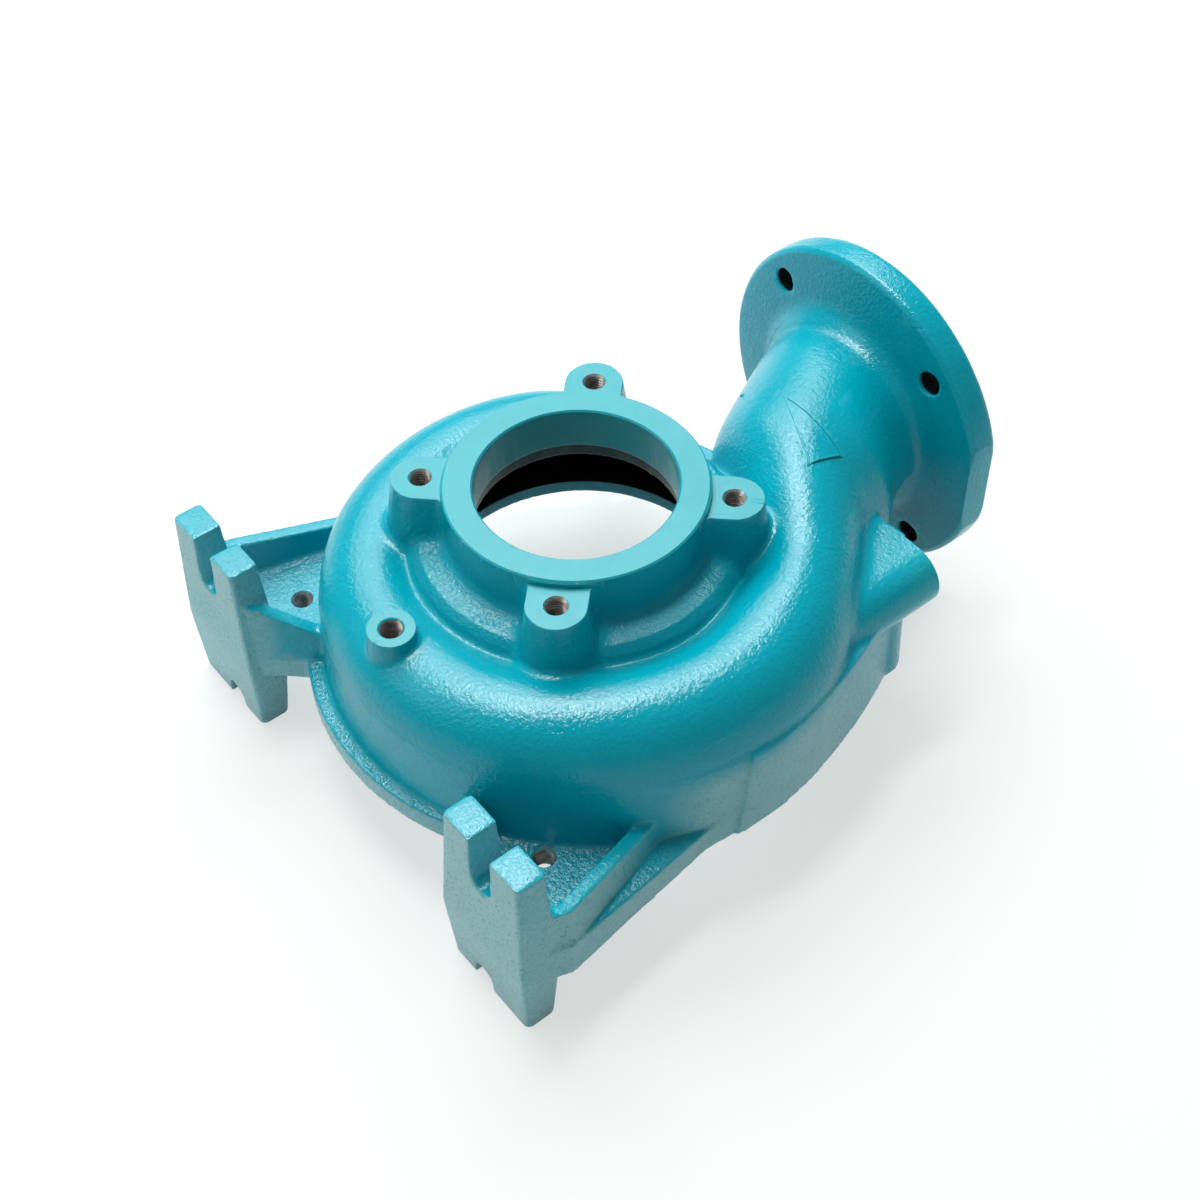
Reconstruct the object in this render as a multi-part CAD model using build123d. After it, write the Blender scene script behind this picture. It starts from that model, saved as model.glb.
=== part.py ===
from build123d import *
import os
from math import atan2, cos, degrees, radians, sin, tan

# Volute pump casing, one iron casting.
# Millimetres. The origin is on the pump axis, in the face that meets the motor bracket.
# +Z points to the suction side, +Y to the discharge flange.

os.makedirs("parts", exist_ok=True)

# Heights along the pump axis
parting_z = 56.0             # mould joint, and the centre line of the discharge
suction_face_z = 119.0
boss_face_z = 115.0
land_z = 87.0                # step round the foot of the suction ring
valley_z = 70.0              # where the slope outside the land runs into the volute
boss_root_z = 70.0
back_wall_z = 31.6
back_wall_thickness = 8.6
rim_thickness = 13.7

# Suction side
suction_bore_d = 104.8
wear_ring_seat_d = 108.4
wear_ring_seat_top_z = 94.3
wear_ring_seat_foot_z = 86.0
ring_d = 136.2
ring_root = 4.0              # fillet between the ring and the land, cut as a slope
land_d = 173.4
land_shoulder = 4.0
land_slope = 5.3             # how much wider the land has become at the valley
suction_bolt_circle = 160.0
suction_boss_d = 30.6
suction_boss_draft = 8.0
tapped_core_d = 10.2
suction_thread_depth = 24.0
machined_chamfer = 1.0

# Volute
wall = 8.0
chamber_r = 84.0
chamber_depth = 15.8         # below the parting plane
chamber_shoulder_z = 66.0    # top of the straight wall of the chamber
chamber_slope_z = 77.0
chamber_slope_in = 6.0
chamber_roof_z = 79.5        # under the foot of the suction ring
throat_top_z = 62.0          # top of the gap between the chamber and the passage
throat_lap = 4.0             # the gap starts this far inside the chamber wall
drum_min_r = 108.0
mould_step = 0.5             # the lower half stands this far outside the upper half
wall_draft = 2.5

# Motor side
register_d = 236.0
register_wall = 10.0
shaft_opening_d = 160.8
rim_d = 299.0
motor_bolt_circle = 310.5
lug_r = 16.0
lug_wall = 15.0              # how far the wall stands from the middle of the hidden lug
skirt_run = [(152.5, 12), (143, 58), (134, 85)]
facing_d = 302.0             # the face is clear out to this circle

# Discharge
flange_face_y = 212.0
flange_thickness = 17.0
flange_d = 193.0
flange_flat_x = 92.0
discharge_bore_d = 92.0
mouth_length = 14.0          # straight part of the bore behind the face
neck_root_r = 57.0
discharge_bolt_circle = 160.0
flange_hole_d = 14.0
flange_back_cove = 12.0      # how far the cove behind the flange reaches
nozzle_inset = 4.0           # the lower half of the nozzle is smaller all round
edge_r = 2.5

# Tappings
gauge_y = -116.0
gauge_boss_d = 25.0
gauge_boss_top_z = 92.0
gauge_boss_draft = 2.5
gauge_hole_d = 11.6
gauge_hole_depth = 30.0      # breaks through into the volute
plug_boss_x = 114.5
plug_boss_end_y = 134.0
plug_boss_d = 35.0
plug_boss_length = 60.0
plug_web_x = 70.0            # how far in the flat web of the plug boss reaches
plug_hole_d = 18.6
plug_hole_depth = 22.0

# Feet
foot_sole_y = -154.3
foot_thickness = 16.8
foot_inner_x = 94.0
foot_outer_x = 152.0
foot_top_z = 74.5
foot_bottom_z = -44.0
foot_joint_z = 0.0           # the foot has its own mould joint, and is largest there
foot_swell = 3.5
foot_corner_r = 2.5
upper_slot_x = 122.4
upper_slot_w = 16.0
upper_slot_floor_z = 42.0
lower_slot_x = 117.5
lower_slot_w = 14.0
lower_slot_top_z = -31.0

# Ribs of a foot: the run of the middle, with the height of the top, and the widths at top and root
outer_rib = [(148.8, -142, 40), (151.3, -128, 37), (129.5, -50, 26)]
inner_rib = [(93.5, -148.5, 52.5), (63.5, -116.5, 30.5)]
rib_top_w = 7.5
rib_root_w = 12.0
edge_strip_w = 13.0
plate_edge = [(158.5, -130), (153, -75), (149, -38), (151, -18)]
plate_skirt = [(-18, -2), (-43, -3), (-90, -6), (-131, -10.5), (-143, -9)]

chamber_floor_z = back_wall_z + back_wall_thickness
skirt_spread = parting_z * tan(radians(wall_draft))
mouth_y = flange_face_y - mouth_length
foot_middle_y = foot_sole_y + foot_thickness / 2

# Volute sections: angle, inner and outer radius at the parting plane, height of the crest above it
tongue_sections = [
    (70, 60, 90, 13),
    (95, 62, 97, 16),
    (118, 66, 111, 20),
    (138, 71, 122.5, 24),
]
spiral_sections = [
    (138, 71, 122.5, 24),
    (160, 75, 129, 26.5),
    (190, 76, 132, 26.5),
    (220, 78, 135, 26.5),
    (250, 79, 138, 27.5),
    (280, 80, 140.5, 29),
    (310, 82, 145, 32),
    (340, 83, 148.5, 34.5),
    (365, 84, 151, 37),
    (385, 84, 151, 41),
    (405, 84, 150, 46),
]

# The swan neck brings the flow to the middle of the flange: left and right side of each section
# at the parting plane, height of the crest above it, depth of the passage below it
neck_sections = [
    ((38, 72), (100, 112), 50, 15.8),
    ((15, 85), (91.5, 122), 54, 15.8),
    ((-8, 98), (85, 133), 57, 15.8),
    ((-22, 115), (81, 146), 58.5, 26),
    ((-35, 140), (75, 156), 58.5, 38),
    ((-45, 160), (67, 167), 58, 45),
    ((-53, 183), (61, 183), 56.5, 46),
    ((-56, 198), (56, 198), 56, 46),
]


def polar(r, angle):
    return (r * cos(radians(angle)), r * sin(radians(angle)))


def turned(profile):
    """Revolve an outline of (radius, height) points about the pump axis."""
    return revolve(Plane.XZ * make_face(Polyline(profile, close=True)), Axis.Z)


def disc(diameter, bottom_z, top_z, x=0, y=0):
    """A cylinder along the pump axis between two heights."""
    middle = Pos(x, y, (bottom_z + top_z) / 2)
    return middle * Cylinder(diameter / 2, top_z - bottom_z)


def facing_y(x, y, z):
    """A plane whose normal is +Y."""
    return Plane(origin=(x, y, z), x_dir=(1, 0, 0), z_dir=(0, 1, 0))


def upright(x, y, turn):
    """A vertical plane across the flow: local X points outwards and local Y up."""
    outwards = (cos(radians(turn)), sin(radians(turn)), 0)
    along = (sin(radians(turn)), -cos(radians(turn)), 0)
    return Plane(origin=(x, y, parting_z), x_dir=outwards, z_dir=along)


def bolt_positions(circle):
    reach = circle / 2 * cos(radians(45))
    return [(reach, reach), (-reach, reach), (-reach, -reach), (reach, -reach)]


def both_sides(solid):
    return [solid, mirror(solid, about=Plane.YZ)]


def spiral_stations(sections):
    """Middle, turn, half width and height of each section of the spiral."""
    out = []
    for angle, inner_r, outer_r, height in sections:
        x, y = polar((inner_r + outer_r) / 2, angle)
        out.append((x, y, angle, (outer_r - inner_r) / 2, height))
    return out


def neck_stations():
    """The same for the swan neck, from the two sides of each section."""
    out = []
    for left, right, height, depth in neck_sections:
        across = Vector(right) - Vector(left)
        middle = (Vector(left) + Vector(right)) / 2
        turn = degrees(atan2(across.Y, across.X))
        out.append((middle.X, middle.Y, turn, across.length / 2, height))
    return out


def arch(station):
    """Upper half of a section, with its sides carried a little below the parting plane."""
    x, y, turn, half_width, height = station
    lip = 3.0
    crown = EllipticalCenterArc((0, 0), half_width, height, 0, arc_size=180)
    sides = Polyline((-half_width, 0), (-half_width, -lip), (half_width, -lip), (half_width, 0))
    return upright(x, y, turn) * make_face(crown + sides)


def keel(station):
    """Lower half of a nozzle section, reaching a little above the parting plane."""
    x, y, turn, half_width, height = station
    lap = 1.0
    low_width = half_width - nozzle_inset
    bowl = EllipticalCenterArc((0, 0), low_width, height - nozzle_inset, 180, arc_size=180)
    sides = Polyline((-low_width, 0), (-low_width, lap), (low_width, lap), (low_width, 0))
    return upright(x, y, turn) * make_face(bowl + sides)


def nozzle_underside():
    """The lower half of the swan neck, kept clear of the bracket that bolts to the motor face."""
    return loft([keel(station) for station in neck_stations()]) - disc(facing_d, foot_bottom_z, 0)


def egg(x, y, turn, half_width, roof_height, floor_depth):
    """Section of the water passage, flatter below the parting plane than above it."""
    roof = EllipticalCenterArc((0, 0), half_width, roof_height, 0, arc_size=180)
    floor = EllipticalCenterArc((0, 0), half_width, floor_depth, 180, arc_size=180)
    return upright(x, y, turn) * make_face(roof + floor)


def gap(angle, outer_r):
    """Section of the gap through which the impeller feeds the passage."""
    inner_r = chamber_r - throat_lap
    floor, roof = chamber_floor_z - parting_z, throat_top_z - parting_z
    corners = Polyline((inner_r, floor), (outer_r, floor), (outer_r, roof), (inner_r, roof), close=True)
    return upright(0, 0, angle) * make_face(corners)


def spiral_passages():
    """The passage round the spiral, growing from the tongue, and the gap that opens it to the chamber."""
    sections = []
    gaps = []
    for angle, inner_r, outer_r, height in tongue_sections[1:3] + spiral_sections:
        outer = outer_r - wall
        inner = max(inner_r + wall, chamber_r - throat_lap / 2)
        middle = (outer + inner) / 2
        x, y = polar(middle, angle)
        sections.append(egg(x, y, angle, outer - middle, height - wall, chamber_depth))
        gaps.append(gap(angle, middle))
    return [loft(sections), loft(gaps)]


def neck_passage():
    """The passage from the throat to the discharge face, deepening once it is clear of the register."""
    mouth = discharge_bore_d / 2
    sections = []
    for (x, y, turn, half_width, height), neck in zip(neck_stations()[:-1], neck_sections):
        sections.append(egg(x, y, turn, half_width - wall, height - wall, neck[3]))
    sections.append(egg(0, mouth_y, 0, mouth, mouth, mouth))
    return loft(sections) + extrude(facing_y(0, mouth_y, parting_z) * Circle(mouth), mouth_length)


def drum_outline(height, spread):
    """Plan of the lower half at one height: the spiral, closed through its middle."""
    points = []
    for angle, inner_r, outer_r, crest in tongue_sections[1:3] + spiral_sections:
        points.append(polar(max(outer_r, drum_min_r) + mould_step + spread, angle))
    return Plane.XY.offset(height) * make_face(Spline(points) + Line(points[-1], points[0]))


def drum():
    """Lower half of the spiral, wider towards the motor by its draft."""
    return loft([drum_outline(0, skirt_spread), drum_outline(parting_z, 0)], ruled=True)


def hub():
    """The turned middle: suction ring, land and the body under them."""
    ring_r = ring_d / 2
    land_r = land_d / 2
    return turned([
        (0, 0),
        (land_r + land_slope, 0),
        (land_r + land_slope, valley_z),
        (land_r + 2, valley_z + 5),
        (land_r, land_z - land_shoulder),
        (land_r - land_shoulder, land_z),
        (ring_r + ring_root, land_z + 1),
        (ring_r, land_z + 1 + ring_root),
        (ring_r, suction_face_z - machined_chamfer),
        (ring_r - machined_chamfer, suction_face_z),
        (0, suction_face_z),
    ])


def suction_bosses():
    """Four bosses with draft, each joined to the ring by a neck of its own width."""
    reach = suction_bolt_circle / 2
    neck_length = (reach - ring_d / 2) + 2
    pad = Pos(reach, 0) * Circle(suction_boss_d / 2)
    neck = Pos(reach - neck_length / 2, 0) * Rectangle(neck_length, suction_boss_d)
    top = Plane.XY.offset(boss_face_z) * (pad + neck)
    boss = extrude(top, boss_root_z - boss_face_z, taper=-suction_boss_draft)
    return [Rot(0, 0, 45 + 90 * number) * boss for number in range(4)]


def skirt_outline(height, spread, start_y):
    """Plan at one height of the wall that goes out round the hidden bolt lug."""
    lug = motor_bolt_circle / 2 * cos(radians(45))
    front = (foot_outer_x + spread, start_y)
    turn_in = (lug + lug_wall + spread, lug - 4 + spread)
    tip = (lug + 11 + spread, lug + 11 + spread)
    turn_back = (lug - 2, lug + lug_wall + spread)
    run = [(x + spread, y + spread / 2) for x, y in skirt_run]
    side = Spline(front, *run, turn_in)
    corner = ThreePointArc(turn_in, tip, turn_back)
    back = Polyline(turn_back, (plug_web_x, lug), (plug_web_x, 0), front)
    return Plane.XY.offset(height) * make_face(side + corner + back)


def skirt():
    """Wall of the lower half on the discharge side, with the mould's draft."""
    return loft([skirt_outline(0, 1.5, -22), skirt_outline(parting_z, 0, -12)], ruled=True)


def discharge_flange():
    """Turned about the nozzle, with the draft and the cove on its back and a flat on one side."""
    back_y = flange_face_y - flange_thickness
    flange_r = flange_d / 2
    profile = Polyline(
        (0, back_y - flange_back_cove),
        (neck_root_r, back_y - flange_back_cove),
        (neck_root_r + 3, back_y - 8),
        (neck_root_r + 6, back_y - 4.5),
        (neck_root_r + 11, back_y - 3),
        (neck_root_r + 22, back_y - 2),
        (flange_r - edge_r, back_y),
        (flange_r, back_y + edge_r),
        (flange_r, flange_face_y - edge_r),
        (flange_r - edge_r, flange_face_y),
        (0, flange_face_y),
        close=True,
    )
    plate = revolve(Plane.XY.offset(parting_z) * make_face(profile), Axis((0, 0, parting_z), (0, 1, 0)))
    beyond = Pos(flange_flat_x + flange_r, flange_face_y, parting_z) * Box(flange_d, flange_d, 2 * flange_d)
    return plate - beyond


def plug_boss():
    """Barrel of the drain plug, with the flat web that ties it to the volute."""
    radius = plug_boss_d / 2
    barrel = extrude(facing_y(plug_boss_x, plug_boss_end_y, parting_z) * Circle(radius), -plug_boss_length)
    side_x = plug_boss_x + 1
    front_y = plug_boss_end_y - plug_boss_length
    corners = [(side_x, plug_boss_end_y), (plug_web_x, plug_boss_end_y)]
    corners += [(plug_web_x, front_y), (side_x, front_y)]
    plan = Polyline(*corners, close=True)
    return barrel + extrude(Plane.XY.offset(parting_z + radius) * make_face(plan), -radius - 5)


def foot():
    """One foot, with the draft that meets at its own mould joint."""
    back_y = foot_sole_y + foot_thickness
    levels = [
        (foot_bottom_z, foot_inner_x - 2, foot_outer_x + 1, foot_sole_y - 1.7, back_y - 1),
        (foot_joint_z, foot_inner_x - 6, foot_outer_x + 3, foot_sole_y - foot_swell, back_y + 3),
        (foot_top_z, foot_inner_x, foot_outer_x, foot_sole_y, back_y),
    ]
    sections = []
    for z, x0, x1, y0, y1 in levels:
        place = Pos((x0 + x1) / 2, (y0 + y1) / 2, z)
        sections.append(place * RectangleRounded(x1 - x0, y1 - y0, foot_corner_r))
    return loft(sections, ruled=True)


def fork_slot(x, round_z, width, open_z):
    """A slot for a foot bolt: open at one end and round at the other."""
    centre_z = round_z + width / 2 if open_z > round_z else round_z - width / 2
    middle = facing_y(x, foot_middle_y, 0)
    shape = Pos(0, -centre_z) * Circle(width / 2)
    shape += Pos(0, -(centre_z + open_z) / 2) * Rectangle(width, abs(open_z - centre_z))
    return extrude(middle * shape, 2 * foot_thickness, both=True)


def foot_rib(path):
    """A wall with draft from the back of a foot to the volute, lower as it goes."""
    turn = degrees(atan2(path[-1][1] - path[0][1], path[-1][0] - path[0][0]))
    sections = []
    for x, y, top_z in path:
        section = Polyline(
            (-rib_root_w / 2, 0), (rib_root_w / 2, 0), (rib_root_w / 2, rim_thickness),
            (rib_top_w / 2, top_z), (-rib_top_w / 2, top_z), (-rib_root_w / 2, rim_thickness), close=True,
        )
        across = (-sin(radians(turn)), cos(radians(turn)), 0)
        along = (cos(radians(turn)), sin(radians(turn)), 0)
        sections.append(Plane(origin=(x, y, 0), x_dir=across, z_dir=along) * make_face(section))
    return loft(sections, ruled=True)


def foot_plate():
    """Plate at the level of the rim from one foot to the volute, with the skirt of its side."""
    inner_start, inner_end = inner_rib[0][:2], inner_rib[-1][:2]
    outer_foot = (foot_outer_x + 1.5, foot_middle_y)
    plan = Polyline(
        *plate_edge, (0, plate_edge[-1][1]), (0, inner_end[1]), inner_end, inner_start,
        (foot_inner_x, foot_middle_y), outer_foot, close=True,
    )
    plate = extrude(Plane.XY.offset(rim_thickness) * make_face(plan), -rim_thickness)
    inner_edge = [(x - edge_strip_w, y) for x, y in reversed(plate_edge)]
    foot_end = (foot_outer_x - edge_strip_w, foot_middle_y)
    strip = Polyline(*plate_edge, *inner_edge, foot_end, outer_foot, close=True)
    ends = [(plate_skirt[-1][0], rim_thickness / 2), (plate_skirt[0][0], rim_thickness / 2)]
    side = Polyline(*plate_skirt, *ends, close=True)
    low = plate_skirt[-1][1]
    skirting = extrude(Plane.XY.offset(low - 1) * make_face(strip), rim_thickness - low)
    return plate + (skirting & extrude(Plane.YZ.offset(foot_inner_x) * make_face(side), flange_d))


upper_half = loft([arch(station) for station in spiral_stations(spiral_sections) + neck_stations()])
added = [
    loft([arch(station) for station in spiral_stations(tongue_sections)]),
    drum(),
    disc(register_d + 2 * register_wall, 0, chamber_floor_z),
    nozzle_underside(),
    skirt(),
    hub(),
    disc(rim_d, 0, rim_thickness),
    discharge_flange(),
    plug_boss(),
    Pos(0, gauge_y, (parting_z + gauge_boss_top_z) / 2)
    * Cone(gauge_boss_d / 2 + gauge_boss_draft, gauge_boss_d / 2, gauge_boss_top_z - parting_z),
]
added += suction_bosses()
for x, y in bolt_positions(motor_bolt_circle)[:2]:
    added.append(disc(2 * lug_r, 0, rim_thickness, x, y))
for side in (foot_plate(), foot(), foot_rib(outer_rib), foot_rib(inner_rib)):
    added += both_sides(side)
casting = upper_half + added

bore_r = suction_bore_d / 2
seat_r = wear_ring_seat_d / 2
chamber = turned([
    (0, chamber_floor_z),
    (chamber_r, chamber_floor_z),
    (chamber_r, chamber_shoulder_z),
    (chamber_r - chamber_slope_in, chamber_slope_z),
    (ring_d / 2, chamber_roof_z),
    (seat_r, wear_ring_seat_foot_z),
    (seat_r, wear_ring_seat_top_z),
    (bore_r, wear_ring_seat_top_z),
    (bore_r, suction_face_z - machined_chamfer),
    (bore_r + machined_chamfer, suction_face_z),
    (0, suction_face_z),
])
removed = [
    disc(register_d, 0, back_wall_z),
    disc(shaft_opening_d, 0, chamber_floor_z),
    chamber,
    *spiral_passages(),
    neck_passage(),
    disc(gauge_hole_d, gauge_boss_top_z - gauge_hole_depth, gauge_boss_top_z, 0, gauge_y),
    extrude(facing_y(plug_boss_x, plug_boss_end_y, parting_z) * Circle(plug_hole_d / 2), -plug_hole_depth),
]
removed += both_sides(fork_slot(upper_slot_x, upper_slot_floor_z, upper_slot_w, foot_top_z))
removed += both_sides(fork_slot(lower_slot_x, lower_slot_top_z, lower_slot_w, foot_bottom_z))
for x, y in bolt_positions(suction_bolt_circle):
    removed.append(disc(tapped_core_d, boss_face_z - suction_thread_depth, boss_face_z, x, y))
for x, y in bolt_positions(motor_bolt_circle):
    removed.append(disc(tapped_core_d, 0, rim_thickness, x, y))
for x, z in bolt_positions(discharge_bolt_circle):
    centre = facing_y(x, flange_face_y, parting_z + z)
    removed.append(extrude(centre * Circle(flange_hole_d / 2), -flange_thickness - flange_back_cove))
casting -= removed

export_step(casting, "parts/volute_casing.step")
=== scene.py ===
"""Volute pump casing: one sand casting in glossy teal paint, with turned faces and cut threads."""

import math

import bmesh
import bpy
import numpy as np
from mathutils import Matrix, Quaternion, Vector, noise
from mathutils.bvhtree import BVHTree
from mathutils.interpolate import poly_3d_calc

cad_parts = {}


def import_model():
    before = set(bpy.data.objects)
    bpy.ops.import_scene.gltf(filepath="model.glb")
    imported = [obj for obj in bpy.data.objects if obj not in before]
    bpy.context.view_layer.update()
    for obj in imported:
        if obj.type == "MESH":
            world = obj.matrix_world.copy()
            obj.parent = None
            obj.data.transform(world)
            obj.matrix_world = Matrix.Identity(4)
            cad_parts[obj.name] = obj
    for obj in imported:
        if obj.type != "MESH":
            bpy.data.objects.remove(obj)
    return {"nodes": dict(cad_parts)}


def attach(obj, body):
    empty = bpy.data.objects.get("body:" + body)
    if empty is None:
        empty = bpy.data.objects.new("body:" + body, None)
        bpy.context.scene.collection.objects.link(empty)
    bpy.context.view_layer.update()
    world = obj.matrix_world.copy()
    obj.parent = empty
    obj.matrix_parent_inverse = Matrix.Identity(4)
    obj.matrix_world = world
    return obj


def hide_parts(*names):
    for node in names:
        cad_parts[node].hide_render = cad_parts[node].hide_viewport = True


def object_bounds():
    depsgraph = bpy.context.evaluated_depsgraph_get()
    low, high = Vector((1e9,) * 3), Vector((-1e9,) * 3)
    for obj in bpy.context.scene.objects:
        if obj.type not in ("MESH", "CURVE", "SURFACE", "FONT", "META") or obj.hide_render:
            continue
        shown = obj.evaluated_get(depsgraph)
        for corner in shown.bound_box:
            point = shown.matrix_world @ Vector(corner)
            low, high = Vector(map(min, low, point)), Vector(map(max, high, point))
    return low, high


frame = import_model()
cad_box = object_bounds()

mm = 0.001
up = (0, 0, 1)
out = (0, 1, 0)

# turned faces, in millimetres in the frame of the casing
suction_face_z = 119.0
suction_bore_r = 52.4
ring_r = 68.1
boss_face_z = 115.0
boss_reach = 100.0
seat_r = 54.2
seat_top_z = 94.3
seat_foot_z = 86.0
gauge_face_z = 92.0
gauge_y = -116.0
flange_face_y = 212.0
flange_centre_z = 56.0
plug_x = 114.5
plug_face_y = 134.0
plug_boss_r = 17.5
plug_z = 56.0
motor_lug_z = 13.7       # top of the plate where the motor bolts enter
opening_r = 80.4
chamber_floor_z = 40.2
floor_z = -44.0
turned_bevel = 0.9
clear_above = 8.0        # how far a facing cut goes on above its face
stock = 3.0              # metal left on a face until it is turned
skim = 0.5               # the same on a boss, where the cast rounding shows beside the cut

# tapped and drilled holes
m12 = (10.2, 12.0, 1.75)
g_quarter = (11.6, 13.16, 1.337)
g_half = (18.6, 20.95, 1.814)
suction_bolt_r = 80.0
motor_bolt_r = 155.25
flange_bolt_r = 80.0
flange_hole_r = 7.0
flange_hole_depth = 29.0
suction_tap_depth = 24
motor_tap_depth = 22
gauge_tap_depth = 24
plug_tap_depth = 22
hole_paint = 17.0        # how far from the turned face a flange hole is near-black, as painted shade; the rest is painted

# casting skin
grid = 1.0
edge_rounds = 2
root_rounds = 18         # fillets of the feet, the ribs and the motor side
crown_rounds = 90        # wider fillets round the suction ring and its bosses
nozzle_rounds = 60
casing_triangles = 168000
long_wave = (14.0, 0.14)     # size and height of the slow waves in a cast face, in millimetres
short_wave = (3.8, 0.05)     # the same for the lumps on them
sharp_edge = 38              # degrees from which an edge is shaded as a sharp one

# raised arrow on the nozzle, in plan: tip, outer and inner end of its base
arrow_plan = [(19.5, 126.6), (61.4, 125.2), (58.9, 107.0)]
arrow_rise = 1.0
# lines cut beside its edges, in plan: from, to, half width and depth
arrow_lines = [
    ((17.5, 127.9), (61.9, 126.3), 0.55, 0.75), ((62.4, 126.9), (58.7, 104.2), 0.6, 0.7),
    ((17.5, 126.0), (58.4, 105.9), 0.4, 0.3),
]
groove_steps = 30
gate_stub = (-17.4, 128.4, 90.6)

# camera: from and towards, and its lean about the line of sight
camera_from = (545.3, -403.5, 791.2)
camera_to = (16.97, 0.1, 44.23)
camera_lean = -1.642
camera_lens = 56.86


def link(thing):
    bpy.context.scene.collection.objects.link(thing)
    return thing


def baked(piece):
    """The mesh of a piece with its modifiers applied."""
    ready = piece.evaluated_get(bpy.context.evaluated_depsgraph_get())
    mesh = bpy.data.meshes.new_from_object(ready)
    piece.modifiers.clear()
    piece.data = mesh
    return mesh


def mesh_of(form, name="shape"):
    mesh = bpy.data.meshes.new(name)
    form.to_mesh(mesh)
    form.free()
    return mesh


def quarters(reach):
    """Four places at 45 degrees on a bolt circle."""
    side = reach * math.sqrt(0.5)
    return [(side, side), (-side, side), (-side, -side), (side, -side)]


# shapes of the tools that cut the casting


def place(form, centre, axis):
    """Stands a shape made about +Z on a point, along another axis."""
    turn = Vector(up).rotation_difference(Vector(axis)).to_matrix().to_4x4()
    move = Matrix.Translation(Vector(centre) * mm)
    bmesh.ops.transform(form, matrix=move @ turn, verts=form.verts)


def lathe(profile, centre=(0, 0, 0), axis=up, steps=128):
    """A turned solid from points of radius and height that begin and end on the axis."""
    form = bmesh.new()
    line = [form.verts.new((r * mm, 0, z * mm)) for r, z in profile]
    for first, second in zip(line, line[1:]):
        form.edges.new((first, second))
    bmesh.ops.spin(
        form, geom=form.verts[:] + form.edges[:], cent=(0, 0, 0), axis=up,
        angle=2 * math.pi, steps=steps, use_merge=True,
    )
    bmesh.ops.remove_doubles(form, verts=form.verts, dist=0.001 * mm)
    bmesh.ops.recalc_face_normals(form, faces=form.faces)
    place(form, centre, axis)
    return mesh_of(form)


def rod(radius, bottom, top, centre=(0, 0, 0), axis=up, steps=48):
    return lathe([(0, bottom), (radius, bottom), (radius, top), (0, top)], centre, axis, steps)


def tap(thread, depth, centre, axis=up, steps=28):
    """A rod with a helical ridge, the shape that a tap leaves in its hole."""
    core, major, pitch = thread
    form = bmesh.new()
    line = []
    for number in range(-math.ceil(depth / pitch), 0):
        for radius, rise in ((core, 0.0), (core, 0.2), (major, 0.55), (major, 0.65)):
            line.append(form.verts.new((radius / 2 * mm, 0, (number + rise) * pitch * mm)))
    for number in range(3):
        line.append(form.verts.new((core / 2 * mm, 0, number * pitch * mm)))
    for first, second in zip(line, line[1:]):
        form.edges.new((first, second))
    bmesh.ops.spin(
        form, geom=form.verts[:] + form.edges[:], cent=(0, 0, 0), axis=up,
        dvec=(0, 0, pitch * mm / steps), angle=2 * math.pi, steps=steps,
    )
    bmesh.ops.remove_doubles(form, verts=form.verts, dist=0.001 * mm)
    rims = [edge for edge in form.edges if edge.is_boundary]
    bmesh.ops.holes_fill(form, edges=rims, sides=0)
    bmesh.ops.triangulate(form, faces=[face for face in form.faces if len(face.verts) > 4])
    bmesh.ops.recalc_face_normals(form, faces=form.faces)
    place(form, centre, axis)
    return mesh_of(form)


def countersink(thread, centre, axis=up):
    core, major, pitch = thread
    wide = major / 2 + 0.35
    return lathe(
        [(0, -wide), (0.4, 0.4 - wide), (wide + 0.5, 0.5), (wide + 0.5, 1.5), (0, 1.5)], centre, axis, 40
    )


def together(meshes, name):
    form = bmesh.new()
    for mesh in meshes:
        form.from_mesh(mesh)
    return link(bpy.data.objects.new(name, mesh_of(form, name)))


# every tapped hole: thread, depth, place of its mouth, way out
tapped = [(m12, suction_tap_depth, (x, y, boss_face_z), up) for x, y in quarters(suction_bolt_r)]
tapped += [(m12, motor_tap_depth, (x, y, motor_lug_z), up) for x, y in quarters(motor_bolt_r)]
tapped.append((g_quarter, gauge_tap_depth, (0, gauge_y, gauge_face_z), up))
tapped.append((g_half, plug_tap_depth, (plug_x, plug_face_y, plug_z), out))
flange_holes = [(x, z + flange_centre_z) for x, z in quarters(flange_bolt_r)]


def facing_cuts():
    """What the lathe and the mill take off the rough faces."""
    suction = lathe([
        (0, seat_foot_z - 0.5),
        (seat_r - 0.6, seat_foot_z - 0.5),
        (seat_r, seat_foot_z + 0.1),
        (seat_r, seat_top_z),
        (suction_bore_r, seat_top_z),
        (suction_bore_r, suction_face_z - turned_bevel),
        (suction_bore_r + turned_bevel, suction_face_z),
        (ring_r - turned_bevel, suction_face_z),
        (ring_r + 0.6, suction_face_z - turned_bevel - 0.6),
        (ring_r + 0.6, boss_face_z),
        (boss_reach, boss_face_z),
        (boss_reach, suction_face_z + clear_above),
        (0, suction_face_z + clear_above),
    ], steps=192)
    gauge = rod(15, gauge_face_z, gauge_face_z + clear_above, (0, gauge_y, 0))
    flange = rod(104, 0, 10, (0, flange_face_y, flange_centre_z), out, 128)
    plug = rod(plug_boss_r + 3, 0, clear_above, (plug_x, plug_face_y, plug_z), out)
    return together([suction, gauge, flange, plug], "facing_cuts")


# the rough casting and its moulded skin


def vertex_array(mesh, name):
    values = np.empty(len(mesh.vertices) * 3, np.float32)
    if name == "co":
        mesh.vertices.foreach_get("co", values)
    else:
        mesh.vertex_normals.foreach_get("vector", values)
    return values.reshape(-1, 3).astype(float)


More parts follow.
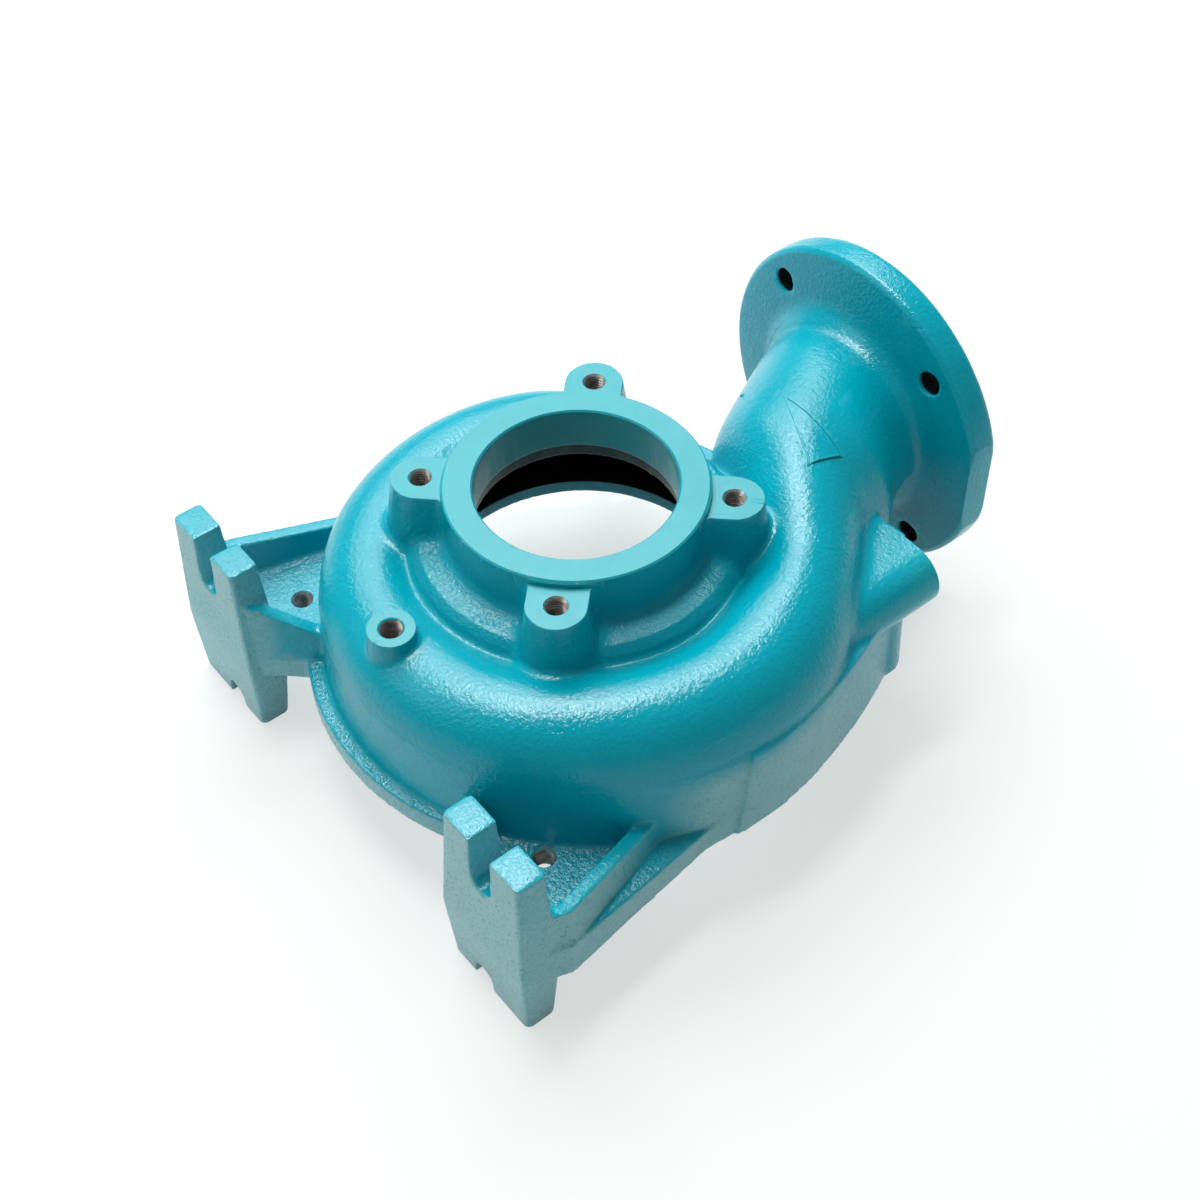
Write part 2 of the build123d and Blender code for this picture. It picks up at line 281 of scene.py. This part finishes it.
def neighbour_pull(points, edges, degree):
    """How far each point is from the middle of its neighbours."""
    pull = np.empty_like(points)
    for axis in range(3):
        total = np.bincount(edges[:, 0], points[edges[:, 1], axis], len(points))
        total += np.bincount(edges[:, 1], points[edges[:, 0], axis], len(points))
        pull[:, axis] = total / degree - points[:, axis]
    return pull


def fillet_rounds(points):
    """How long each place is filled: most round the suction ring, least at the feet."""
    x, y, z = (points / mm).T
    reach = np.hypot(x, y)
    rounds = np.full(len(points), root_rounds)
    rounds[(z > 58) & (y > 60)] = nozzle_rounds
    rounds[(z > 62) & (reach < 104)] = crown_rounds
    return rounds


def soften(mesh):
    """Rounds the cast edges a little and fills the inside corners, as a moulded skin has them."""
    edges = np.empty(len(mesh.edges) * 2, np.int32)
    mesh.edges.foreach_get("vertices", edges)
    edges = edges.reshape(-1, 2)
    degree = np.bincount(edges.ravel(), minlength=len(mesh.vertices)).astype(float)
    points = vertex_array(mesh, "co")
    for turn in range(edge_rounds):
        points += 0.5 * neighbour_pull(points, edges, degree)
    rounds = fillet_rounds(points)
    for turn in range(crown_rounds):
        if turn % 10 == 0:
            mesh.vertices.foreach_set("co", points.ravel().astype(np.float32))
            mesh.update()
            normals = vertex_array(mesh, "normal")
        pull = neighbour_pull(points, edges, degree)
        outward = np.einsum("ij,ij->i", pull, normals)
        step = np.clip(outward / (0.02 * grid * mm), 0, 1) * (turn < rounds)
        points += 0.5 * step[:, None] * pull
    mesh.vertices.foreach_set("co", points.ravel().astype(np.float32))
    mesh.update()


def rough_blank():
    """The raw casting: stock on the faces to be turned, and solid where holes will be."""
    form = bmesh.new()
    form.from_mesh(frame["nodes"]["volute_casing"].data)
    bmesh.ops.remove_doubles(form, verts=form.verts, dist=0.01 * mm)
    for vert in form.verts:
        x, y, z = vert.co / mm
        reach = math.hypot(x, y)
        if reach < ring_r + 1 and z > suction_face_z - 1.5:
            vert.co.z += stock * mm
        elif reach < boss_reach and abs(z - boss_face_z) < 0.2:
            vert.co.z += skim * mm
        elif math.hypot(x, y - gauge_y) < 14 and abs(z - gauge_face_z) < 0.2:
            vert.co.z += skim * mm
        elif y > flange_face_y - 0.2:
            vert.co.y += stock * mm
        elif math.hypot(x - plug_x, z - plug_z) < plug_boss_r + 1 and abs(y - plug_face_y) < 0.2:
            vert.co.y += stock * mm
    blank = mesh_of(form, "blank")
    fillings = [rod(7, -20, skim / 2, (x, y, boss_face_z)) for x, y in quarters(suction_bolt_r)]
    fillings += [rod(7, 0.4, 13.3, (x, y, 0)) for x, y in quarters(motor_bolt_r)]
    fillings.append(rod(8, -17, skim / 2, (0, gauge_y, gauge_face_z)))
    fillings += [rod(9, -15.5, stock - 0.5, (x, flange_face_y, z), out) for x, z in flange_holes]
    fillings.append(rod(11.5, -20.5, stock - 0.5, (plug_x, plug_face_y, plug_z), out))
    return together([blank] + fillings, "casing")


def combine(casing, other, operation):
    """Takes another shape out of the casing, or adds it."""
    step = casing.modifiers.new("combine", "BOOLEAN")
    step.operation = operation
    step.solver = "MANIFOLD"
    step.object = other
    baked(casing)
    bpy.data.objects.remove(other)


def surface_below(skin, place):
    """The point of the casting's top side under a place in plan, and its normal."""
    above = Vector((place.x, place.y, 0.2))
    surface, normal, index, away = skin.ray_cast(above, Vector((0, 0, -1)))
    return surface, normal


def relief_marks(casing):
    """The flow arrow that the pattern leaves on the nozzle, and the stub of a gate beside it."""
    skin = BVHTree.FromObject(casing, bpy.context.evaluated_depsgraph_get())
    form = bmesh.new()
    corners = [form.verts.new((x * mm, y * mm, 0)) for x, y in arrow_plan]
    form.faces.new(corners)
    places = [corner.co.copy() for corner in corners]
    bmesh.ops.subdivide_edges(form, edges=form.edges, cuts=28, use_grid_fill=True)
    upper = {}
    for vert in form.verts:
        tip, outer, inner = poly_3d_calc(places, vert.co)
        surface, normal = surface_below(skin, vert.co)
        away_from_tip = 0.25 + 0.75 * (1 - tip)
        towards_base = 0.3 + 0.7 * min(1, outer * 2.5 + inner * 0.6)
        rise = arrow_rise * away_from_tip * towards_base
        vert.co = surface + normal * rise * mm
        upper[vert] = surface - normal * 1.2 * mm
    lid = bmesh.ops.extrude_face_region(form, geom=form.faces[:])["geom"]
    for vert, low in upper.items():
        vert.co = low
    bmesh.ops.recalc_face_normals(form, faces=form.faces)
    marks = mesh_of(form)
    form = bmesh.new()
    bmesh.ops.create_icosphere(form, subdivisions=3, radius=1.5 * mm)
    place(form, gate_stub, up)
    return together([marks, mesh_of(form)], "relief_marks")


def arrow_groove(casing, start, end, half_width, depth):
    """The line cut beside one edge of the arrow, which its pattern was let into."""
    skin = BVHTree.FromObject(casing, bpy.context.evaluated_depsgraph_get())
    form = bmesh.new()
    first, last = Vector((*start, 0)), Vector((*end, 0))
    rings = []
    for number in range(groove_steps + 1):
        surface, normal = surface_below(skin, first.lerp(last, number / groove_steps) * mm)
        side = normal.cross(last - first).normalized() * half_width * mm
        lip = surface + normal * half_width * mm
        root = surface - normal * depth * mm
        rings.append([form.verts.new(corner) for corner in (lip + side, lip - side, root)])
    for near, far in zip(rings, rings[1:]):
        for corner in range(3):
            other = (corner + 1) % 3
            form.faces.new((near[corner], near[other], far[other], far[corner]))
    form.faces.new(rings[0])
    form.faces.new(rings[-1])
    bmesh.ops.recalc_face_normals(form, faces=form.faces)
    combine(casing, together([mesh_of(form)], "arrow_groove"), "DIFFERENCE")


def roughen(mesh):
    """The slight waviness and lumps of a face that was cast in sand, kept inside the casing's box."""
    mesh.update()
    normals = vertex_array(mesh, "normal")
    points = vertex_array(mesh, "co")
    (long_size, long_height), (short_size, short_height) = long_wave, short_wave
    for number, vert in enumerate(mesh.vertices):
        wave = noise.noise(vert.co / (long_size * mm)) * long_height
        wave += noise.noise(vert.co / (short_size * mm)) * short_height
        points[number] += normals[number] * wave * mm
    low, high = (np.array(corner) for corner in cad_box)
    points = np.clip(points, low, high + np.array((0, stock, 0)) * mm)
    mesh.vertices.foreach_set("co", points.ravel().astype(np.float32))
    mesh.update()


def cast_casing():
    """The casting with its own skin, then faced, drilled and tapped."""
    casing = rough_blank()
    skin = casing.modifiers.new("skin", "REMESH")
    skin.mode = "VOXEL"
    skin.voxel_size = grid * mm
    mesh = baked(casing)
    soften(mesh)
    thin = casing.modifiers.new("thin", "DECIMATE")
    thin.ratio = casing_triangles / (2 * len(mesh.polygons))
    baked(casing)
    roughen(casing.data)
    combine(casing, relief_marks(casing), "UNION")
    for start, end, half_width, depth in arrow_lines:
        arrow_groove(casing, start, end, half_width, depth)
    combine(casing, facing_cuts(), "DIFFERENCE")
    drills = [
        lathe([
            (0, -flange_hole_depth),
            (flange_hole_r, -flange_hole_depth),
            (flange_hole_r, -hole_paint),
            (flange_hole_r, 4),
            (0, 4),
        ], (x, flange_face_y, z), out, 48)
        for x, z in flange_holes
    ]
    taps = [tap(thread, depth, centre, axis) for thread, depth, centre, axis in tapped]
    combine(casing, together(drills + taps, "taps"), "DIFFERENCE")
    sinks = [countersink(thread, centre, axis) for thread, depth, centre, axis in tapped]
    combine(casing, together(sinks, "sinks"), "DIFFERENCE")
    return casing


# which finish each face has

cast_paint, turned_paint, bare_thread, shaded_iron, shaded_inside = range(5)


def in_tapped_hole(place):
    """The way out of the tapped hole that a place is in, or nothing."""
    for thread, depth, mouth, axis in tapped:
        away = place - Vector(mouth)
        along = away.dot(Vector(axis))
        if -depth - 8 < along < -0.5 and (away - along * Vector(axis)).length < thread[1] / 2 + 0.1:
            return Vector(axis)
    return None


def finish_of(face):
    """Which finish a face has, by where the tool has been."""
    place = face.calc_center_median() / mm
    reach = math.hypot(place.x, place.y)
    thread_axis = in_tapped_hole(place)
    if thread_axis:
        # faces turned to the mouth get the bright iron, while the roots and lower flanks get the same
        # iron near-black, as painted shade
        return bare_thread if face.normal.dot(thread_axis) > 0.3 else shaded_iron
    if flange_face_y - hole_paint < place.y < flange_face_y - 0.5:
        # the flange holes near their turned face are near-black, as painted shade
        if min([math.hypot(place.x - x, place.z - z) for x, z in flange_holes]) < flange_hole_r + 0.05:
            return shaded_iron
    if reach < boss_reach and place.z > seat_top_z - 0.2:
        if reach < suction_bore_r + turned_bevel or place.z > boss_face_z - 0.05:
            return turned_paint
    if reach < seat_r + 0.2 and place.z > seat_foot_z - 0.6:
        return shaded_iron
    if face.normal.z > 0.99 and abs(place.z - gauge_face_z) < 0.1:
        return turned_paint
    if place.y > flange_face_y - 0.1 or (place.x > 90 and abs(place.y - plug_face_y) < 0.1):
        return turned_paint
    return cast_paint


def inner_skin(form):
    """The faces of the water side, found by spreading out from the impeller chamber."""
    seeds = []
    for face in form.faces:
        place = face.calc_center_median() / mm
        in_chamber = 44 < place.z < 84 and math.hypot(place.x, place.y) < 84.2
        if face.material_index == cast_paint and in_chamber:
            seeds.append(face)
    found = set(seeds)
    while seeds:
        face = seeds.pop()
        for edge in face.edges:
            for near in edge.link_faces:
                if near in found or near.material_index != cast_paint:
                    continue
                place = near.calc_center_median() / mm
                if place.z < chamber_floor_z - 0.8 and math.hypot(place.x, place.y) < opening_r + 1:
                    continue
                found.add(near)
                seeds.append(near)
    return found


def sheen_and_dull_coat(vert):
    """Where a paler coat is painted as the bright floor's reflection, and the paint is also rougher:
    soles, sides of the feet, skirts, rim.
    """
    x, y, z = vert.co / mm
    side, face, rise = vert.normal
    steep = ramp(abs(rise), 0.75, 0.45)
    sole = ramp(y, -148, -152) * ramp(face, -0.3, -0.7)
    foot = 0.55 * steep * ramp(y, -126, -134) * ramp(abs(x), 78, 84)
    rim = 0.7 * steep * ramp(z, 17, 13) * ramp(math.hypot(x, y), 142, 146) * ramp(y, 30, 10)
    skirting = 0.8 * steep * ramp(side, 0.3, 0.7) * ramp(abs(x), 137, 148) * ramp(z, 54, 44)
    return max(sole, foot, rim, skirting)


def sandy_face(vert):
    """How coarse the sand has left a face: most on the land and on the plates of the feet."""
    x, y, z = vert.co / mm
    level = ramp(vert.normal.z, 0.6, 0.85)
    land = ramp(abs(z - 87), 4, 2.5) * ramp(math.hypot(x, y), 94, 90)
    plate = ramp(z, 22, 17) * ramp(y, -20, -40)
    return level * max(land, plate)


def ramp(value, none, full):
    """Goes from 0 at one value to 1 at the other, and stops there."""
    return min(1.0, max(0.0, (value - none) / (full - none)))


def mark_finishes(mesh):
    """Sets the finish of every face, and at its points how crested and sandy the skin is and where the
    floor's reflection is painted paler.
    """
    form = bmesh.new()
    form.from_mesh(mesh)
    for face in form.faces:
        face.smooth = True
        face.material_index = finish_of(face)
    # the water side gets the near-black iron, as painted shade of the closed interior
    for face in inner_skin(form):
        face.material_index = shaded_inside
    crest = form.verts.layers.float.new("crest")
    floor_sheen_and_dull = form.verts.layers.float.new("floor_sheen_and_dull")
    sandy = form.verts.layers.float.new("sandy")
    for edge in form.edges:
        smallest = min([face.calc_area() for face in edge.link_faces], default=0)
        if edge.calc_length() < 0.25 * mm or smallest < 0.03 * mm * mm:
            continue
        angle = math.degrees(edge.calc_face_angle_signed(0))
        for vert in edge.verts:
            if vert.co.z < (boss_face_z - 2.5) * mm or vert.co.xy.length > (ring_r + 2) * mm:
                vert[crest] = max(vert[crest], min(1, max(0, (angle - 9) / 24)))
    for vert in form.verts:
        vert[floor_sheen_and_dull] = sheen_and_dull_coat(vert)
        vert[sandy] = sandy_face(vert)
    form.to_mesh(mesh)
    form.free()
    mesh.set_sharp_from_angle(angle=math.radians(sharp_edge))


# paints and bare iron


class Finish:
    """A material and short ways to add its nodes."""

    def __init__(self, name):
        self.material = bpy.data.materials.new(name)
        self.material.use_nodes = True
        self.nodes = self.material.node_tree.nodes
        self.links = self.material.node_tree.links
        self.shader = self.nodes["Principled BSDF"]
        self.place = self.nodes.new("ShaderNodeTexCoord").outputs["Object"]

    def join(self, source, socket):
        if isinstance(source, (int, float)):
            socket.default_value = source
        elif isinstance(source, tuple):
            socket.default_value = (*source, 1)
        else:
            self.links.new(source, socket)

    def grain(self, size, detail=2.0, roughness=0.5):
        """Cloudy pattern whose lumps are about size millimetres apart."""
        node = self.nodes.new("ShaderNodeTexNoise")
        node.inputs["Scale"].default_value = 1 / (size * mm)
        node.inputs["Detail"].default_value = detail
        node.inputs["Roughness"].default_value = roughness
        self.links.new(self.place, node.inputs["Vector"])
        return node.outputs["Fac"]

    def span(self, source, low, high, least=0.0, most=1.0):
        """Stretches a value from low..high to least..most and stops at both ends."""
        node = self.nodes.new("ShaderNodeMapRange")
        self.join(source, node.inputs["Value"])
        for name, value in (("From Min", low), ("From Max", high), ("To Min", least), ("To Max", most)):
            node.inputs[name].default_value = value
        return node.outputs["Result"]

    def sum(self, operation, first, second):
        node = self.nodes.new("ShaderNodeMath")
        node.operation = operation
        self.join(first, node.inputs[0])
        self.join(second, node.inputs[1])
        return node.outputs["Value"]

    def blend(self, amount, first, second):
        node = self.nodes.new("ShaderNodeMix")
        node.data_type = "RGBA"
        self.join(amount, node.inputs["Factor"])
        self.join(first, node.inputs["A"])
        self.join(second, node.inputs["B"])
        return node.outputs["Result"]

    def attribute(self, name):
        node = self.nodes.new("ShaderNodeAttribute")
        node.attribute_name = name
        return node.outputs["Fac"]

    def relief(self, height, depth):
        """Bump of the given depth in millimetres."""
        node = self.nodes.new("ShaderNodeBump")
        node.inputs["Strength"].default_value = 1
        node.inputs["Distance"].default_value = depth * mm
        self.join(height, node.inputs["Height"])
        return node.outputs["Normal"]

    def dress(self, colour, roughness, normal=None, gloss=0.5, metal=0.0):
        self.join(colour, self.shader.inputs["Base Color"])
        self.join(roughness, self.shader.inputs["Roughness"])
        if normal:
            self.links.new(normal, self.shader.inputs["Normal"])
        self.shader.inputs["Specular IOR Level"].default_value = gloss
        self.shader.inputs["Metallic"].default_value = metal
        return self.material


teal = (0.0, 0.34, 0.44)
deep_teal = (0.0, 0.25, 0.325)
# paler teal painted on faces turned to the floor: a painted reflection of the bright floor
floor_sheen_teal = (0.33, 0.56, 0.57)
# paler teal painted along edges as a highlight
edge_highlight_teal = (0.03, 0.44, 0.51)
chipped = (0.40, 0.38, 0.32)


def cast_teal():
    """Glossy paint over sand-cast iron: orange peel, sand grain, pores and a few chips, with a painted
    highlight along convex edges and a painted floor reflection on faces turned to the floor.
    """
    paint = Finish("cast_teal_paint")
    cloud = paint.span(paint.grain(34, 3), 0.35, 0.65)
    mottle = paint.span(paint.grain(1.9, 3, 0.6), 0.38, 0.62)
    colour = paint.blend(cloud, teal, (0.0, 0.355, 0.455))
    colour = paint.blend(paint.sum("MULTIPLY", mottle, 0.10), colour, deep_teal)
    # painted reflection: faces turned to the floor are blended to a paler teal, and their pores and
    # roughness also grow, as a duller coat
    floor_sheen_and_dull = paint.attribute("floor_sheen_and_dull")
    colour = paint.blend(paint.sum("MULTIPLY", floor_sheen_and_dull, 0.75), colour, floor_sheen_teal)
    pores = paint.span(paint.grain(1.5, 1.5), 0.60, 0.66)
    pores = paint.sum("MULTIPLY", pores, paint.span(floor_sheen_and_dull, 0, 1, 0.12, 0.8))
    colour = paint.blend(paint.sum("MULTIPLY", pores, 0.6), colour, (0.01, 0.16, 0.19))
    # painted highlight: convex edges are blended to a paler teal, while the chips on them are wear
    crest = paint.attribute("crest")
    colour = paint.blend(paint.sum("MULTIPLY", crest, 0.45), colour, edge_highlight_teal)
    spots = paint.span(paint.grain(5.5, 4, 0.7), 0.66, 0.69)
    chips = paint.sum("MULTIPLY", spots, paint.span(crest, 0.75, 0.95))
    colour = paint.blend(chips, colour, chipped)
    fine_peel = paint.sum("MULTIPLY", paint.grain(0.95, 1), 0.4)
    peel = paint.sum("ADD", paint.grain(2.3, 2, 0.55), fine_peel)
    height = paint.sum("SUBTRACT", peel, paint.sum("MULTIPLY", pores, 0.4))
    coarseness = paint.span(paint.attribute("sandy"), 0, 1, 1, 2.0)
    height = paint.sum("MULTIPLY", height, coarseness)
    normal = paint.relief(height, 0.40)
    roughness = paint.span(paint.grain(3.1, 2), 0.35, 0.65, 0.10, 0.18)
    roughness = paint.sum("ADD", roughness, paint.sum("MULTIPLY", floor_sheen_and_dull, 0.22))
    return paint.dress(colour, roughness, normal, gloss=0.25)


def turned_teal():
    """The same paint on a turned face: even, with a painted highlight and a few chips of wear along the
    rim of the suction ring.
    """
    paint = Finish("turned_teal_paint")
    cloud = paint.span(paint.grain(22, 3), 0.35, 0.65)
    colour = paint.blend(cloud, (0.005, 0.33, 0.385), (0.008, 0.35, 0.405))
    reach = paint.nodes.new("ShaderNodeVectorMath")
    reach.operation = "LENGTH"
    flat = paint.nodes.new("ShaderNodeVectorMath")
    flat.operation = "MULTIPLY"
    flat.inputs[1].default_value = (1, 1, 0)
    paint.links.new(paint.place, flat.inputs[0])
    paint.links.new(flat.outputs["Vector"], reach.inputs[0])
    radius = reach.outputs["Value"]
    # painted highlight: a pale band just inside the outer edge of the suction ring's face, while the
    # chips in it are wear
    rim = paint.span(radius, (ring_r - 1.4) * mm, (ring_r - 0.5) * mm)
    beyond = paint.span(radius, (ring_r + 0.2) * mm, (ring_r + 0.4) * mm, 1, 0)
    rim = paint.sum("MULTIPLY", rim, beyond)
    colour = paint.blend(paint.sum("MULTIPLY", rim, 0.35), colour, edge_highlight_teal)
    chips = paint.sum("MULTIPLY", paint.span(paint.grain(5, 4, 0.7), 0.63, 0.67), rim)
    colour = paint.blend(chips, colour, chipped)
    normal = paint.relief(paint.grain(1.4, 2), 0.06)
    roughness = paint.span(paint.grain(6, 2), 0.35, 0.65, 0.30, 0.40)
    return paint.dress(colour, roughness, normal, gloss=0.25)


def thread_iron():
    """The upper flanks of a cut thread: bright iron with a film of oil and rust."""
    iron = Finish("thread_iron")
    rust = iron.span(iron.grain(4, 2, 0.5), 0.42, 0.62)
    colour = iron.blend(rust, (0.42, 0.41, 0.38), (0.26, 0.23, 0.20))
    normal = iron.relief(iron.grain(0.6, 2), 0.02)
    return iron.dress(colour, iron.span(rust, 0, 1, 0.28, 0.45), normal, metal=0.9)


def shaded_iron_finish():
    """Near-black iron, painted shade: the thread roots and lower flanks, and the flange holes near their
    turned face. The wear ring's seat has it too.
    """
    iron = Finish("shaded_turned_iron")
    stain = iron.span(iron.grain(9, 4), 0.4, 0.6)
    colour = iron.blend(stain, (0.016, 0.04, 0.044), (0.010, 0.022, 0.024))
    normal = iron.relief(iron.grain(0.7, 2), 0.04)
    return iron.dress(colour, 0.38, normal, metal=0.8)


def shaded_inner_iron():
    """Unpainted sand-cast iron of the water side, darkened to near black as painted shade of the closed
    interior.
    """
    iron = Finish("shaded_raw_cast_iron")
    stain = iron.span(iron.grain(12, 5, 0.6), 0.4, 0.65)
    colour = iron.blend(stain, (0.010, 0.010, 0.010), (0.026, 0.019, 0.014))
    normal = iron.relief(iron.grain(1.6, 3), 0.3)
    return iron.dress(colour, iron.span(stain, 0, 1, 0.5, 0.75), normal, gloss=0.3)


# floor, light and camera


def pale_floor():
    """White paper: it keeps the shadow, and is lifted to white where the camera sees it."""
    paper = Finish("pale_floor")
    paper.dress((0.86, 0.88, 0.875), 0.85, gloss=0.2)
    glow = paper.nodes.new("ShaderNodeEmission")
    glow.inputs["Color"].default_value = (0.97, 1.0, 0.985, 1)
    path = paper.nodes.new("ShaderNodeLightPath")
    seen = paper.sum("MAXIMUM", path.outputs["Is Camera Ray"], path.outputs["Is Glossy Ray"])
    share = paper.sum("MULTIPLY", seen, 0.64)
    mix = paper.nodes.new("ShaderNodeMixShader")
    paper.links.new(share, mix.inputs[0])
    paper.links.new(paper.shader.outputs[0], mix.inputs[1])
    paper.links.new(glow.outputs[0], mix.inputs[2])
    paper.links.new(mix.outputs[0], paper.nodes["Material Output"].inputs["Surface"])
    return paper.material


def floor():
    form = bmesh.new()
    bmesh.ops.create_grid(form, x_segments=1, y_segments=1, size=6)
    bmesh.ops.translate(form, verts=form.verts, vec=(0, 0, floor_z * mm))
    ground = link(bpy.data.objects.new("floor", mesh_of(form, "floor")))
    ground.data.materials.append(pale_floor())


def lamp(name, place, aim, size, power, sheen_only=False):
    """A soft box; one that is sheen_only shows in the gloss and lights nothing else."""
    light = bpy.data.lights.new(name, "AREA")
    light.shape = "RECTANGLE"
    light.size, light.size_y = size
    light.energy = power
    holder = link(bpy.data.objects.new(name, light))
    holder.location = place
    holder.rotation_mode = "QUATERNION"
    holder.rotation_quaternion = (Vector(aim) - Vector(place)).to_track_quat("-Z", "Y")
    holder.visible_diffuse = not sheen_only


def world():
    sky = bpy.data.worlds.new("studio")
    bpy.context.scene.world = sky
    sky.use_nodes = True
    nodes, links = sky.node_tree.nodes, sky.node_tree.links
    background = nodes["Background"]
    path = nodes.new("ShaderNodeLightPath")
    level = nodes.new("ShaderNodeMapRange")
    level.inputs["To Min"].default_value = 0.24
    level.inputs["To Max"].default_value = 1.0
    links.new(path.outputs["Is Camera Ray"], level.inputs["Value"])
    links.new(level.outputs[0], background.inputs["Strength"])
    background.inputs["Color"].default_value = (1, 1, 1, 1)


def camera():
    lens = bpy.data.cameras.new("camera")
    lens.lens = camera_lens
    lens.sensor_width = 36
    lens.clip_start = 0.01
    holder = link(bpy.data.objects.new("camera", lens))
    start, aim = Vector(camera_from) * mm, Vector(camera_to) * mm
    holder.location = start
    holder.rotation_mode = "QUATERNION"
    level = (aim - start).to_track_quat("-Z", "Y")
    holder.rotation_quaternion = level @ Quaternion((0, 0, 1), math.radians(camera_lean))
    bpy.context.scene.camera = holder


casing = cast_casing()
casing.data.materials.clear()
for material in (cast_teal(), turned_teal(), thread_iron(), shaded_iron_finish(), shaded_inner_iron()):
    casing.data.materials.append(material)
mark_finishes(casing.data)
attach(casing, "root")
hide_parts("volute_casing")

floor()
world()
lamp("key_softbox", (-1.65, 0.77, 2.0), (0, 0, 0), (2.4, 1.8), 80)
lamp("top_softbox", (-0.42, -0.05, 2.5), (0, 0, 0), (0.8, 0.35), 24)
lamp("side_softbox", (-1.1, -1.7, 1.7), (0, 0, 0), (1.4, 1.4), 12)
lamp("overhead_reflector", (-0.75, 0.02, 2.3), (0, 0, 0), (1.9, 1.1), 98, sheen_only=True)
camera()

bpy.context.scene.view_settings.view_transform = "Standard"
